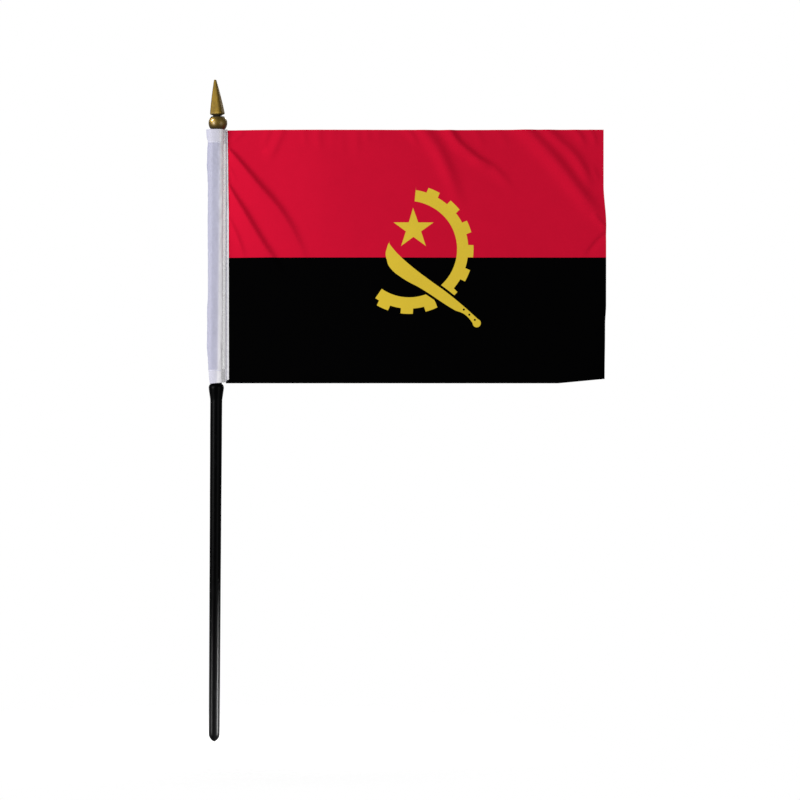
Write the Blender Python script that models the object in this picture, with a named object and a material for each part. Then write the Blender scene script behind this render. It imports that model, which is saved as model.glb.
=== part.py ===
"""A small flag on a plastic staff with a pressed-on spear finial, as used on a desk.

Metres, +Z up. The origin is the tip of the staff's foot, on the staff's axis. The flag flies
towards +X and its front faces -Y. Three groups move: the staff, the flag that turns on it, and
the finial that pulls off it.
"""

import math

import bmesh
import bpy
from mathutils import Matrix, Vector

MM = 0.001

# Gaps between pieces that touch on the real object.
GAP = 0.3 * MM
CLOTH_GAP = 0.15 * MM
THREAD_GAP = 0.1 * MM

# Staff, one black moulding: rounded foot, tapered handle, flared stop collar, slim upper shaft, spigot.
HANDLE_LENGTH = 144.2 * MM
HANDLE_TOP_DIAMETER = 4.76 * MM
HANDLE_FOOT_DIAMETER = 4.25 * MM
FOOT_NOSE_LENGTH = 3.2 * MM
COLLAR_FLARE = 1.35 * MM  # how much wider the collar is than the handle's top, on the diameter
COLLAR_TAPER_LENGTH = 4.8 * MM
COLLAR_SHOULDER_HEIGHT = 1.6 * MM
SHAFT_DIAMETER = 4.2 * MM
SPIGOT_DIAMETER = 2.1 * MM
SPIGOT_CHAMFER = 0.3 * MM

# Flag cloth, a printed sheet with its hoist edge caught in the sleeve's seam.
FLAG_LENGTH = 152.4 * MM  # from the sleeve's edge to the fly
FLAG_HEIGHT = 101.6 * MM
FLAG_CLOTH = 0.3 * MM
FLAG_WAVE_DEPTH = 1.6 * MM
FLAG_WAVES = 1.25
FLAG_CALM_LENGTH = 12.0 * MM  # next to the sleeve, where the wave starts

# Sleeve, a white strip folded round the staff and closed by the seam.
SLEEVE_CLOTH = 0.25 * MM
SLEEVE_OVERHANG = 0.3 * MM  # past the flag cloth at the top and at the bottom
SLEEVE_PLAY = 0.65 * MM  # between the shaft and the sleeve's single wall
SLEEVE_SLACK = 0.5 * MM  # extra room on the side away from the flag
SLEEVE_MOUTH_SLACK = 0.7 * MM  # the same at the top, where the ball spreads it
SLEEVE_FOOT_SLACK = 0.05 * MM  # the same at the bottom, where it hugs the shaft
SEAM_START = 0.5 * MM  # from the shaft side of the tube to where its two layers meet
SEAM_ALLOWANCE = 1.05 * MM
SEAM_CURVE = ((0.86, 0.42), (0.58, 1.0))  # a cubic's two handles, as shares of SEAM_X and the depth
HEM_HEIGHT = 5.8 * MM
HEM_EASE = 7.5 * MM  # the length over which the ends' own widths fade out
HEM_STEP = 0.12 * MM  # the height of the turned-in edge's step

# Thread of the lockstitched rows.
THREAD_DIAMETER = 0.2 * MM
STITCH_LENGTH = 2.2 * MM
STITCH_RISE = 0.05 * MM
SEAM_ROW_SHARE = 0.5  # across the seam allowance
HEM_ROW_INSET = 0.7 * MM  # from the turned-in edge
HEM_ROW_REACH = 0.55  # how far towards the seam the row goes
SEAM_ROW_END = 0.8 * MM  # from the sleeve's ends

# Finial, a bored ball on the staff's spigot and a four-sided spear pegged into it.
BALL_DIAMETER = 7.5 * MM
BALL_FOOT_DIAMETER = 4.0 * MM  # the flat that stands on the shaft
BALL_TOP_DIAMETER = 5.2 * MM  # the flat that carries the spear
BALL_TUCK = 0.6 * MM  # how far the ball's foot sits in the sleeve's mouth
SPIGOT_SHARE = 0.6  # of the ball's bore, less the clearance, and the spear's peg has the rest
BORE_END_CLEARANCE = 0.8 * MM  # between the spigot's end and the peg's
SPEAR_LENGTH = 14.45 * MM  # from the ball to the tip
SPEAR_SIDE = 5.5 * MM
SPEAR_NECK_DIAMETER = 4.2 * MM
SPEAR_NECK_HEIGHT = 0.2 * MM
SPEAR_CHAMFER_HEIGHT = 0.7 * MM
SPEAR_TIP_SIDE = 0.9 * MM
SPEAR_FULLNESS = 0.12  # how far the sides bow out of a straight taper
SPEAR_SQUARENESS = 7.0  # 2 is round, and higher is a sharper square
SPEAR_PEG_DIAMETER = 2.1 * MM
SPEAR_TURN = math.radians(-17.0)
SPEAR_LEAN = math.radians(-3.0)  # it is pressed in slightly askew, away from the flag

# Facets.
TURNED_SIDES = 32
ARC_STEPS = 8
THREAD_SIDES = 6
SPEAR_LEVELS = 9
FLAG_STEPS = 36

# Places that follow from the sizes.
SHAFT_RADIUS = SHAFT_DIAMETER / 2
COLLAR_RADIUS = (HANDLE_TOP_DIAMETER + COLLAR_FLARE) / 2
SLEEVE_BOTTOM = HANDLE_LENGTH + GAP
SLEEVE_TOP = SLEEVE_BOTTOM + FLAG_HEIGHT + 2 * SLEEVE_OVERHANG
BALL_RADIUS = BALL_DIAMETER / 2
BALL_FOOT_DROP = math.sqrt(BALL_RADIUS**2 - (BALL_FOOT_DIAMETER / 2) ** 2)
BALL_TOP_RISE = math.sqrt(BALL_RADIUS**2 - (BALL_TOP_DIAMETER / 2) ** 2)
BALL_CENTRE = SLEEVE_TOP - BALL_TUCK + BALL_FOOT_DROP
BALL_BORE_RADIUS = max(SPIGOT_DIAMETER, SPEAR_PEG_DIAMETER) / 2 + GAP
BORE_FILLED = BALL_FOOT_DROP + BALL_TOP_RISE - BORE_END_CLEARANCE
SPIGOT_TOP = BALL_CENTRE - BALL_FOOT_DROP + SPIGOT_SHARE * BORE_FILLED
SPEAR_PEG_BOTTOM = SPIGOT_TOP + BORE_END_CLEARANCE
SHAFT_TOP = SLEEVE_TOP - BALL_TUCK - GAP
SPEAR_SEAT = BALL_CENTRE + BALL_TOP_RISE + GAP
SEAM_LAYER = FLAG_CLOTH / 2 + CLOTH_GAP + SLEEVE_CLOTH / 2  # from the middle of the flag cloth
TUBE_DEPTH = SHAFT_RADIUS + SLEEVE_PLAY + SLEEVE_CLOTH / 2 + THREAD_DIAMETER
SEAM_X = TUBE_DEPTH + SEAM_START
SLEEVE_EDGE = SEAM_X + SEAM_ALLOWANCE
SEAM_ROW_X = SEAM_X + SEAM_ROW_SHARE * SEAM_ALLOWANCE


def mouth_depth():
    """Half the sleeve's depth at its top, wide enough for the ball in its mouth."""
    drop = BALL_CENTRE - SLEEVE_TOP
    ball = math.sqrt(max(BALL_RADIUS**2 - drop**2, 0.0)) if abs(drop) < BALL_RADIUS else 0.0
    return max(ball + GAP + 1.5 * SLEEVE_CLOTH, TUBE_DEPTH)


# Blender helpers.


def clear_scene():
    for thing in list(bpy.data.objects):
        bpy.data.objects.remove(thing, do_unlink=True)


def finish_material(name, colour, roughness, metallic=0.0):
    material = bpy.data.materials.new(name)
    material.use_nodes = True
    shader = material.node_tree.nodes["Principled BSDF"]
    shader.inputs["Base Color"].default_value = (*colour, 1.0)
    shader.inputs["Roughness"].default_value = roughness
    shader.inputs["Metallic"].default_value = metallic
    material.diffuse_color = (*colour, 1.0)
    return material


def add_group(name, location):
    group = bpy.data.objects.new(name, None)
    group.location = location
    bpy.context.scene.collection.objects.link(group)
    return group


def add_object(name, shape, material, group, smooth_angle=35.0):
    """Turns a bmesh into a named object of the group, placed from the group's own origin."""
    bmesh.ops.recalc_face_normals(shape, faces=shape.faces)
    bmesh.ops.translate(shape, verts=shape.verts, vec=-group.location)
    mesh = bpy.data.meshes.new(name)
    shape.to_mesh(mesh)
    shape.free()
    mesh.materials.append(material)
    mesh.shade_smooth()
    mesh.set_sharp_from_angle(angle=math.radians(smooth_angle))
    made = bpy.data.objects.new(name, mesh)
    made.parent = group
    bpy.context.scene.collection.objects.link(made)
    return made


def pointed_arch(radius, height):
    """Points from a blunt tip on the axis out to a wall that goes straight up."""
    shares = (step / ARC_STEPS for step in range(ARC_STEPS + 1))
    return [(radius * (1 - (1 - share) ** 2), height * share) for share in shares]


def quarter_arc(centre, radii, start, end):
    """Points on an ellipse quarter in a profile's (radius, height) plane, both ends included."""
    angles = (start + (end - start) * step / ARC_STEPS for step in range(ARC_STEPS + 1))
    return [(centre[0] + radii[0] * math.cos(a), centre[1] + radii[1] * math.sin(a)) for a in angles]


def turned(profile, closed=False):
    """A solid of revolution about Z from (radius, height) points."""
    shape = bmesh.new()
    points = [shape.verts.new((radius, 0.0, height)) for radius, height in profile]
    edges = [shape.edges.new(pair) for pair in zip(points, points[1:])]
    if closed:
        edges.append(shape.edges.new((points[-1], points[0])))
    bmesh.ops.spin(
        shape,
        geom=points + edges,
        cent=(0, 0, 0),
        axis=(0, 0, 1),
        angle=2 * math.pi,
        steps=TURNED_SIDES,
        use_merge=True,
    )
    bmesh.ops.remove_doubles(shape, verts=shape.verts, dist=0.001 * MM)
    return shape


def lofted(rings):
    """A closed solid through rings of equally many points, with flat ends."""
    shape = bmesh.new()
    levels = [[shape.verts.new(point) for point in ring] for ring in rings]
    for low, high in zip(levels, levels[1:]):
        for i, corner in enumerate(low):
            after = (i + 1) % len(low)
            shape.faces.new((corner, low[after], high[after], high[i]))
    shape.faces.new(levels[0][::-1])
    shape.faces.new(levels[-1])
    return shape


# Staff.


def staff_profile():
    foot = HANDLE_FOOT_DIAMETER / 2
    nose = pointed_arch(foot, FOOT_NOSE_LENGTH)
    collar_base = HANDLE_LENGTH - COLLAR_SHOULDER_HEIGHT - COLLAR_TAPER_LENGTH
    shoulder_base = HANDLE_LENGTH - COLLAR_SHOULDER_HEIGHT
    shoulder = quarter_arc(
        (SHAFT_RADIUS, shoulder_base),
        (COLLAR_RADIUS - SHAFT_RADIUS, COLLAR_SHOULDER_HEIGHT),
        0.0,
        math.pi / 2,
    )
    spigot = SPIGOT_DIAMETER / 2
    return [
        *nose,
        (HANDLE_TOP_DIAMETER / 2, collar_base),
        *shoulder,
        (SHAFT_RADIUS, SHAFT_TOP),
        (spigot, SHAFT_TOP),
        (spigot, SPIGOT_TOP - SPIGOT_CHAMFER),
        (spigot - SPIGOT_CHAMFER, SPIGOT_TOP),
        (0.0, SPIGOT_TOP),
    ]


def make_staff(group, material):
    return add_object("staff", turned(staff_profile()), material, group)


# Finial.


def make_ball(group, material):
    """A bored ball with a flat foot and a flat top."""
    start = -math.asin(BALL_FOOT_DROP / BALL_RADIUS)
    end = math.asin(BALL_TOP_RISE / BALL_RADIUS)
    steps = 2 * ARC_STEPS
    angles = [start + (end - start) * step / steps for step in range(steps + 1)]
    outside = [(BALL_RADIUS * math.cos(a), BALL_CENTRE + BALL_RADIUS * math.sin(a)) for a in angles]
    bore = [(BALL_BORE_RADIUS, outside[-1][1]), (BALL_BORE_RADIUS, outside[0][1])]
    return add_object("finial_ball", turned(outside + bore, closed=True), material, group)


def spear_ring(half_side, height, squareness):
    """A ring between a circle and a square, by the superellipse formula."""
    ring = []
    for step in range(TURNED_SIDES):
        angle = 2 * math.pi * step / TURNED_SIDES
        sides = abs(math.cos(angle)) ** squareness + abs(math.sin(angle)) ** squareness
        radius = half_side / sides ** (1 / squareness)
        ring.append(Vector((radius * math.cos(angle), radius * math.sin(angle), height)))
    return ring


def make_spear(group, material):
    """Peg, round neck, chamfer and four bowed faces, leant about the middle of its seat."""
    neck_top = SPEAR_SEAT + SPEAR_NECK_HEIGHT
    widest = neck_top + SPEAR_CHAMFER_HEIGHT
    tip = SPEAR_SEAT + SPEAR_LENGTH
    rings = [
        spear_ring(SPEAR_PEG_DIAMETER / 2, SPEAR_PEG_BOTTOM, 2),
        spear_ring(SPEAR_PEG_DIAMETER / 2, SPEAR_SEAT, 2),
        spear_ring(SPEAR_NECK_DIAMETER / 2, SPEAR_SEAT, 2),
        spear_ring(SPEAR_NECK_DIAMETER / 2, neck_top, 2),
    ]
    for level in range(SPEAR_LEVELS + 1):
        share = level / SPEAR_LEVELS
        bow = 1 - share + 2 * SPEAR_FULLNESS * share * (1 - share)
        side = SPEAR_TIP_SIDE + (SPEAR_SIDE - SPEAR_TIP_SIDE) * bow
        rings.append(spear_ring(side / 2, widest + (tip - widest) * share, SPEAR_SQUARENESS))
    shape = lofted(rings)
    seat = Matrix.Translation((0, 0, SPEAR_SEAT))
    turn = Matrix.Rotation(SPEAR_LEAN, 4, "Y") @ Matrix.Rotation(SPEAR_TURN, 4, "Z")
    shape.transform(seat @ turn @ seat.inverted())
    return add_object("finial_spear", shape, material, group, smooth_angle=25.0)


# Sleeve.


def sleeve_room(height):
    """(half the depth, reach away from the flag) of the sleeve's cloth at this height."""
    stations = (
        (SLEEVE_BOTTOM, TUBE_DEPTH - THREAD_DIAMETER, SLEEVE_FOOT_SLACK),
        (SLEEVE_BOTTOM + HEM_EASE, TUBE_DEPTH, SLEEVE_SLACK),
        (SLEEVE_TOP - HEM_EASE, TUBE_DEPTH, SLEEVE_SLACK),
        (SLEEVE_TOP, mouth_depth(), SLEEVE_MOUTH_SLACK),
    )
    for (low, depth, slack), (high, next_depth, next_slack) in zip(stations, stations[1:]):
        if height <= high:
            break
    share = min(max((height - low) / (high - low), 0.0), 1.0)
    share = share * share * (3 - 2 * share)
    depth += (next_depth - depth) * share
    return depth, depth + slack + (next_slack - slack) * share


def sleeve_path(height):
    """The middle of the sleeve's cloth in plan, from its front edge round the staff to its back edge."""
    depth, reach = sleeve_room(height)
    handles = [Vector((along * SEAM_X, -out * depth)) for along, out in SEAM_CURVE]
    control = [Vector((SEAM_X, -SEAM_LAYER)), *handles, Vector((0.0, -depth))]
    front = [Vector((SLEEVE_EDGE, -SEAM_LAYER))]
    for step in range(ARC_STEPS):
        t = step / ARC_STEPS
        weights = ((1 - t) ** 3, 3 * t * (1 - t) ** 2, 3 * t * t * (1 - t), t**3)
        front.append(sum((w * p for w, p in zip(weights, control)), Vector((0.0, 0.0))))
    for step in range(ARC_STEPS):
        angle = math.pi / 2 * step / ARC_STEPS
        front.append(Vector((-reach * math.sin(angle), -depth * math.cos(angle))))
    back = [Vector((point.x, -point.y)) for point in reversed(front)]
    return front + [Vector((-reach, 0.0))] + back


def path_normals(path):
    """Unit normals that point out of the tube."""
    normals = []
    for i, point in enumerate(path):
        along = path[min(i + 1, len(path) - 1)] - path[max(i - 1, 0)]
        normals.append(Vector((along.y, -along.x)).normalized())
    return [-normal for normal in normals]


def sleeve_ring(height, inner_extra):
    """The strip's outline at one height. The turned-in hem adds to its inner side, but not in the seam."""
    path = sleeve_path(height)
    normals = path_normals(path)
    outer = [p + n * SLEEVE_CLOTH / 2 for p, n in zip(path, normals)]
    inner = []
    for point, normal in zip(path, normals):
        clear = min(max((SEAM_X - point.x) / SEAM_X * 2, 0.0), 1.0)
        inner.append(point - normal * (SLEEVE_CLOTH / 2 + inner_extra * clear))
    return [Vector((p.x, p.y, height)) for p in outer + inner[::-1]]


def make_sleeve(group, material):
    """A folded strip with a turned-in hem at each end, as one solid."""
    half = [(0.0, SLEEVE_CLOTH), (HEM_HEIGHT / 2, SLEEVE_CLOTH), (HEM_HEIGHT, SLEEVE_CLOTH)]
    half += [(HEM_HEIGHT + HEM_STEP, 0.0), (HEM_EASE, 0.0)]
    levels = [(SLEEVE_BOTTOM + inward, extra) for inward, extra in half]
    levels += [(SLEEVE_TOP - inward, extra) for inward, extra in reversed(half)]
    shape = lofted([sleeve_ring(height, extra) for height, extra in levels])
    return add_object("sleeve", shape, material, group, smooth_angle=45.0)


# Flag cloth.


def wave(x):
    """How far the flag cloth stands off its plane at this distance from the staff's axis."""
    flown = max(x - SLEEVE_EDGE, 0.0)
    share = min(flown / FLAG_CALM_LENGTH, 1.0)
    start = share * share * (3 - 2 * share)
    return FLAG_WAVE_DEPTH * start * math.sin(2 * math.pi * FLAG_WAVES * flown / FLAG_LENGTH)


def make_flag_cloth(group, material):
    """A sheet that waves along its length, with its hoist edge between the sleeve's two layers."""
    bottom = SLEEVE_BOTTOM + SLEEVE_OVERHANG
    hoist = SEAM_X + CLOTH_GAP
    stops = [hoist, SLEEVE_EDGE]
    stops += [SLEEVE_EDGE + FLAG_LENGTH * (step + 1) / FLAG_STEPS for step in range(FLAG_STEPS)]
    rings = []
    for x in stops:
        y = wave(x)
        corners = ((-1, 0), (1, 0), (1, 1), (-1, 1))
        rings.append([(x, y + side * FLAG_CLOTH / 2, bottom + up * FLAG_HEIGHT) for side, up in corners])
    return add_object("flag_cloth", lofted(rings), material, group, smooth_angle=45.0)


# Thread.


def thread(points, outward):
    """One thread through points, which rises off the cloth between its needle holes."""
    rings = []
    for i, point in enumerate(points):
        along = (points[min(i + 1, len(points) - 1)] - points[max(i - 1, 0)]).normalized()
        out = outward[i]
        across = along.cross(out).normalized()
        middle = point + out * (STITCH_RISE if i % 2 else 0.0)
        ring = []
        for side in range(THREAD_SIDES):
            angle = 2 * math.pi * side / THREAD_SIDES
            ring.append(middle + (out * math.cos(angle) + across * math.sin(angle)) * THREAD_DIAMETER / 2)
        rings.append(ring)
    return lofted(rings)


def make_seam_thread(name, side, group, material):
    """The row that closes the sleeve over the flag cloth. Side -1 is the front, 1 the back."""
    start, end = SLEEVE_BOTTOM + SEAM_ROW_END, SLEEVE_TOP - SEAM_ROW_END
    count = 2 * round((end - start) / STITCH_LENGTH)
    off = SEAM_LAYER + SLEEVE_CLOTH / 2 + THREAD_GAP + THREAD_DIAMETER / 2
    points = [Vector((SEAM_ROW_X, side * off, start + (end - start) * i / count)) for i in range(count + 1)]
    outward = [Vector((0, side, 0))] * len(points)
    return add_object(name, thread(points, outward), material, group)


def resampled(path, spacing):
    """Points about this far apart along the path."""
    lengths = [0.0]
    for before, after in zip(path, path[1:]):
        lengths.append(lengths[-1] + (after - before).length)
    count = max(2, round(lengths[-1] / spacing))
    points = []
    span = 0
    for i in range(count + 1):
        at = lengths[-1] * i / count
        while span < len(path) - 2 and lengths[span + 1] < at:
            span += 1
        share = (at - lengths[span]) / (lengths[span + 1] - lengths[span])
        points.append(path[span].lerp(path[span + 1], min(share, 1.0)))
    return points


def make_hem_thread(name, height, inside, group, material):
    """The row that holds a turned-in hem, all round the tube and clear of the seam."""
    path = sleeve_path(height)
    normals = path_normals(path)
    if inside:
        off = -(1.5 * SLEEVE_CLOTH + THREAD_GAP + THREAD_DIAMETER / 2)
    else:
        off = SLEEVE_CLOTH / 2 + THREAD_GAP + THREAD_DIAMETER / 2
    kept = [p + n * off for p, n in zip(path, normals) if p.x < HEM_ROW_REACH * SEAM_X]
    points = resampled(kept, STITCH_LENGTH / 2)
    outward = path_normals(points)
    turn = -1 if inside else 1
    spots = [Vector((p.x, p.y, height)) for p in points]
    ways = [Vector((turn * n.x, turn * n.y, 0)) for n in outward]
    return add_object(name, thread(spots, ways), material, group)


def main():
    clear_scene()
    black_plastic = finish_material("black_plastic", (0.012, 0.012, 0.013), 0.35)
    gold_plastic = finish_material("gold_plastic", (0.38, 0.24, 0.06), 0.3, 0.8)
    white_cloth = finish_material("white_cloth", (0.62, 0.61, 0.68), 0.85)
    printed_cloth = finish_material("printed_cloth", (0.6, 0.01, 0.03), 0.8)
    white_thread = finish_material("white_thread", (0.75, 0.74, 0.78), 0.7)

    staff_group = add_group("staff_group", Vector((0, 0, 0)))
    flag_group = add_group("flag_turn_axis", Vector((0, 0, SLEEVE_BOTTOM)))
    finial_group = add_group("finial_pull_axis", Vector((0, 0, SHAFT_TOP)))

    make_staff(staff_group, black_plastic)
    make_ball(finial_group, gold_plastic)
    make_spear(finial_group, gold_plastic)
    make_sleeve(flag_group, white_cloth)
    make_flag_cloth(flag_group, printed_cloth)
    make_seam_thread("seam_needle_thread", -1, flag_group, white_thread)
    make_seam_thread("seam_bobbin_thread", 1, flag_group, white_thread)
    rows = (
        ("bottom_hem", SLEEVE_BOTTOM + HEM_HEIGHT - HEM_ROW_INSET),
        ("top_hem", SLEEVE_TOP - HEM_HEIGHT + HEM_ROW_INSET),
    )
    for name, height in rows:
        make_hem_thread(f"{name}_needle_thread", height, False, flag_group, white_thread)
        make_hem_thread(f"{name}_bobbin_thread", height, True, flag_group, white_thread)


if __name__ == "__main__":
    main()
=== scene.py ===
"""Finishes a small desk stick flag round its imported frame.

Metres, in the frame's own axes: +Z runs up the staff, the flag flies towards +X and its front faces
-Y. "Flown" is a distance from the sleeve's edge towards the fly, and "dropped" is a distance down
from the flag cloth's top edge.
"""

import math
from collections import namedtuple

import bmesh
import bpy
import numpy as np
from mathutils import Matrix, Vector, noise


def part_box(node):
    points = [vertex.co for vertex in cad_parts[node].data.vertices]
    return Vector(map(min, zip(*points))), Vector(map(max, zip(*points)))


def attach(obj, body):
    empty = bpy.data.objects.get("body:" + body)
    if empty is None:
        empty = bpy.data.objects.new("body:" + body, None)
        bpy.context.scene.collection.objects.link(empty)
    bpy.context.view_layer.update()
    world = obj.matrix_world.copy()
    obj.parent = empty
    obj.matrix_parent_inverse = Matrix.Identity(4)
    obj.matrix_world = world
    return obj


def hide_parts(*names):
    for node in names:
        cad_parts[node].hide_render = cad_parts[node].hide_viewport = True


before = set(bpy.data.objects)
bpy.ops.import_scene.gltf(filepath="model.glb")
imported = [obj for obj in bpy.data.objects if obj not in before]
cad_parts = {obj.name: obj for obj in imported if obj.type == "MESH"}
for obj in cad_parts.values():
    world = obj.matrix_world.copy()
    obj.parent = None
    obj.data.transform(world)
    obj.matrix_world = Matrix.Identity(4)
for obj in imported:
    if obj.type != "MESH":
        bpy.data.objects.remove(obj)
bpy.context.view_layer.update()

bl_info = {
    "name": "Desk Stick Flag",
    "version": (1, 0, 0),
    "blender": (4, 5, 0),
    "location": "3D View > Sidebar > Stick Flag",
    "description": "Makes the cloth, sleeve, stitches, staff and finial of a small stick flag",
    "category": "Object",
}

MM = 0.001
SLEEVE_LOW, SLEEVE_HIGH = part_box("sleeve")
CLOTH_LOW, CLOTH_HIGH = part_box("flag_cloth")
BALL_LOW, BALL_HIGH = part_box("finial_ball")
SPEAR_LOW, SPEAR_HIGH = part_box("finial_spear")
CUT_HEIGHT = CLOTH_HIGH.z - CLOTH_LOW.z
FLOWN_LENGTH = CLOTH_HIGH.x - SLEEVE_HIGH.x
HANG_PIVOT = SLEEVE_LOW.z + 15 * MM  # the height that the flag tilts about

PLACE = "cloth_place"  # the attribute with a point's place on the uncreased cloth, in metres
BAKE_MAP = "OFBake"


# Settings.


def setting(kind, **limits):
    """A maker of one kind of setting."""

    def made(name, description, default):
        return kind(name=name, description=description, default=default, **limits)

    return made


length = setting(bpy.props.FloatProperty, min=0.0, unit="LENGTH", subtype="DISTANCE", precision=5)
angle = setting(bpy.props.FloatProperty, unit="ROTATION", subtype="ANGLE")
share = setting(bpy.props.FloatProperty, min=0.0, max=1.0, subtype="FACTOR")
number = setting(bpy.props.FloatProperty, min=0.0)
count = setting(bpy.props.IntProperty, min=1)
colour = setting(bpy.props.FloatVectorProperty, size=3, min=0.0, max=1.0, subtype="COLOR")


class StaffSettings(bpy.types.PropertyGroup):
    """The black plastic staff."""

    colour: colour("Colour", "Colour of the moulded plastic", (0.0007, 0.0007, 0.0008))
    roughness: share("Roughness", "Roughness of the moulded surface", 0.34)
    sides: count("Sides", "Points round the staff", 96)
    ring_spacing: length("Ring spacing", "Distance between the staff's rings", 0.5 * MM)
    corner_radius: length("Corner radius", "Rounding of the moulding's corners", 0.5 * MM)
    nose: length("Nose", "Height of the blunt rounded foot", 2.9 * MM)
    parting_line: length("Parting line", "Height of the mould's parting line", 0.035 * MM)


class FinialSettings(bpy.types.PropertyGroup):
    """The gold ball and spear."""

    colour: colour("Colour", "Colour of the metallised plastic", (0.2, 0.126, 0.019))
    # This colour serves both the dulled patches and the painted shade on the ball's lower half.
    worn_colour: colour("Worn colour", "Colour where the gold has dulled", (0.055, 0.034, 0.005))
    roughness: share("Roughness", "Roughness of the bright gold", 0.46)
    sides: count("Sides", "Points round the ball and the spear", 96)
    spear_side: length("Spear side", "Width of the spear's widest square", 5.2 * MM)
    spear_tip: length("Spear tip", "Width of the spear's blunt tip", 0.9 * MM)
    spear_neck: length("Spear neck", "Diameter of the spear's neck", 3.6 * MM)
    spear_peg: length("Spear peg", "Diameter of the spear's peg", 2.1 * MM)
    spear_length: length("Spear length", "From the neck's foot to the tip", 14.45 * MM)
    spear_base: length("Spear base", "From the neck's foot to the widest square", 0.65 * MM)
    spear_shift: length("Spear shift", "How far off the staff's axis the spear sits", 0.15 * MM)
    spear_turn: angle("Spear turn", "Turn of the spear about the staff", math.radians(-17.0))
    spear_lean: angle("Spear lean", "Lean of the spear away from the flag", math.radians(-4.2))


class ClothSettings(bpy.types.PropertyGroup):
    """The printed flag cloth."""

    thickness: length("Thickness", "Thickness of the printed cloth", 0.12 * MM)
    grid: length("Grid", "Distance between the cloth's points", 0.65 * MM)
    fold_scale: number("Fold scale", "How strongly the folds stand up", 1.0)
    billow: length("Billow", "Depth of the slow wave along the cloth", 1.3 * MM)
    upper_colour: colour("Upper colour", "Print of the upper band", (0.625, 0.0055, 0.032))
    lower_colour: colour("Lower colour", "Print of the lower band", (0.0004, 0.0004, 0.0005))
    device_colour: colour("Device colour", "Print of the device", (0.76, 0.548, 0.043))
    band_height: length("Band height", "Drop from the top edge to the lower band", 51.17 * MM)
    yarn_spacing: length("Yarn spacing", "Distance between the weave's yarns", 0.24 * MM)


class SleeveSettings(bpy.types.PropertyGroup):
    """The white sleeve."""

    thickness: length("Thickness", "Thickness of the sleeve's cloth", 0.11 * MM)
    hem: length("Hem", "Height of the turned-in ends", 5.6 * MM)
    row_spacing: length("Row spacing", "Height of one row of the sleeve's points", 0.5 * MM)
    slant: length("Slant", "Rise of the lower edge towards the flag", 0.8 * MM)
    crumple: length("Crumple", "Depth of the small creases", 0.22 * MM)
    colour: colour("Colour", "Colour of the sleeve's cloth", (0.98, 0.965, 1.0))
    # The grey is painted shade. The sleeve is painted darker on its side away from the flag and over the
    # staff.
    grey_colour: colour("Grey colour", "Its colour on the side away from the flag", (0.55, 0.55, 0.725))
    yarn_spacing: length("Yarn spacing", "Distance between the weave's yarns", 0.22 * MM)


class StitchSettings(bpy.types.PropertyGroup):
    """The lockstitched rows."""

    diameter: length("Diameter", "Thickness of the thread", 0.2 * MM)
    stitch: length("Stitch", "Length of one stitch", 2.2 * MM)
    plies: count("Plies", "Yarns twisted into the thread", 3)
    twist: length("Twist", "Length of one turn of the plies", 0.9 * MM)
    # The thread's colour is greyer and bluer than the white thread itself. That tint is painted shade for
    # the small shadows along the stitches.
    colour: colour("Colour", "Colour of the thread", (0.8, 0.8, 0.93))


class StageSettings(bpy.types.PropertyGroup):
    """Camera, lights and floor."""

    focal_length: number("Focal length", "Lens of the camera, in millimetres", 135.0)
    distance: length("Distance", "From the camera to the flag's plane", 1.2097)
    sideways: length("Sideways", "The camera's place along the flag", 74.1 * MM)
    height: length("Height", "The camera's height", 138.15 * MM)
    roll: angle("Roll", "Turn of the camera about its own view", math.radians(0.35))
    key_power: number("Key power", "Power of the key light, in watts", 3.55)
    fill_power: number("Fill power", "Power of the soft light from the right, in watts", 7.5)
    floor_power: number("Floor power", "Power of the light that washes the floor, in watts", 4.0)
    glint_power: number("Glint power", "Power of the narrow beam on the ball, in watts", 2.5)
    foot_power: number("Foot power", "Power of the narrow beam on the staff's foot, in watts", 200.0)
    ambient: number("Ambient", "Strength of the light from all round", 0.22)
    floor_radius: length("Floor radius", "Radius of the pale floor", 0.16)


class FlagSettings(bpy.types.PropertyGroup):
    """Everything that the panel lists."""

    staff: bpy.props.PointerProperty(type=StaffSettings, name="Staff", description="The staff")
    finial: bpy.props.PointerProperty(type=FinialSettings, name="Finial", description="The finial")
    cloth: bpy.props.PointerProperty(type=ClothSettings, name="Cloth", description="The flag cloth")
    sleeve: bpy.props.PointerProperty(type=SleeveSettings, name="Sleeve", description="The sleeve")
    stitches: bpy.props.PointerProperty(type=StitchSettings, name="Stitches", description="The threads")
    stage: bpy.props.PointerProperty(type=StageSettings, name="Stage", description="Camera and light")
    hang: angle("Hang", "How far from square the loose sleeve lets the flag hang", math.radians(0.35))


# Shader maths.


class Value:
    """A shader socket that takes part in Python arithmetic. Each operation adds one Math node."""

    def __init__(self, shader, socket):
        self.shader = shader
        self.socket = socket

    def maths(self, operation, *others):
        return self.shader.maths(operation, self, *others)

    def __add__(self, other):
        return self.maths("ADD", other)

    def __sub__(self, other):
        return self.maths("SUBTRACT", other)

    def __mul__(self, other):
        return self.maths("MULTIPLY", other)

    def __truediv__(self, other):
        return self.maths("DIVIDE", other)

    def __pow__(self, other):
        return self.maths("POWER", other)

    def __mod__(self, other):
        return self.maths("FLOORED_MODULO", other)

    def __neg__(self):
        return self.maths("MULTIPLY", -1.0)

    def __abs__(self):
        return self.maths("ABSOLUTE")

    def __rsub__(self, other):
        return self.shader.maths("SUBTRACT", other, self)

    def __rtruediv__(self, other):
        return self.shader.maths("DIVIDE", other, self)

    __radd__ = __add__
    __rmul__ = __mul__

    def clamped(self):
        """The same value, kept from 0 to 1."""
        return self.shader.node("ShaderNodeClamp", None, {"Value": self})


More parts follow.
